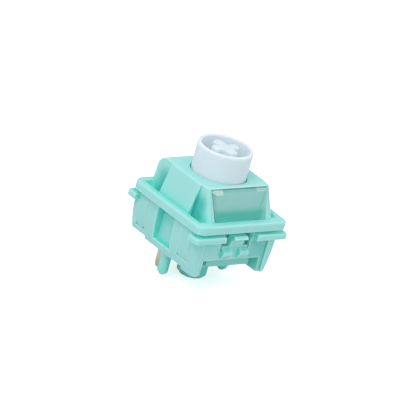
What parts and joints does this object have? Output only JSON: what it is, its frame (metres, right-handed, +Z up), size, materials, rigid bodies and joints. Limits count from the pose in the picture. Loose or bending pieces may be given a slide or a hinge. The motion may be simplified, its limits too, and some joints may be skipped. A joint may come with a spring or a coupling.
{
  "type": "mechanical keyboard switch",
  "caption": "Plate-mounted push-button key switch with a sprung stem, a round collar around a cross post, a clear light guide, clip-on housing and two solder pins.",
  "frame": {"origin": "on the switch's axis, on the face of the lower housing that sits on the circuit board, where the centre post starts", "axes": "+Z up along the stem's travel, towards the keycap; -Y towards the clear light guide, +Y towards the contact pins; +X to the right when seen from the light guide's side"},
  "size_m": [0.0156, 0.0156, 0.0187],
  "materials": {
    "housing_plastic": "mint moulded plastic with a soft satin surface",
    "stem_plastic": "pale blue-white slippery moulded plastic, satin",
    "clear_plastic": "clear moulded light guide, lightly frosted",
    "terminal_brass": "stamped brass, tinned at the pins",
    "leaf_bronze": "thin phosphor bronze strip",
    "contact_gold": "gold alloy contact bar",
    "spring_steel": "drawn stainless spring wire"
  },
  "bodies": {
    "housing": {"bottom_housing": "housing_plastic", "top_housing": "housing_plastic", "light_guide": "clear_plastic", "fixed_terminal": "terminal_brass", "leaf_terminal": "terminal_brass", "fixed_contact_point": "contact_gold", "return_spring": "spring_steel"},
    "stem": {"stem": "stem_plastic"},
    "leaf": {"contact_leaf": "leaf_bronze", "leaf_contact_point": "contact_gold"}
  },
  "joints": [
    {"name": "stem_travel", "type": "slide", "parent": "housing", "child": "stem", "axis": [0, 0, -1], "range_m": [0, 0.004], "stiffness_N_per_m": 60, "springref_m": -0.006, "deforming": ["return_spring"]},
    {"name": "leaf_flex", "type": "hinge", "parent": "housing", "child": "leaf", "pos_m": [0, 0.00598, 0.0014], "axis": [1, 0, 0], "range_deg": [0, 4.8]}
  ],
  "couplings": [
    {"joint": "leaf_flex", "follows": "stem_travel", "rad_per_m": 20.94}
  ]
}
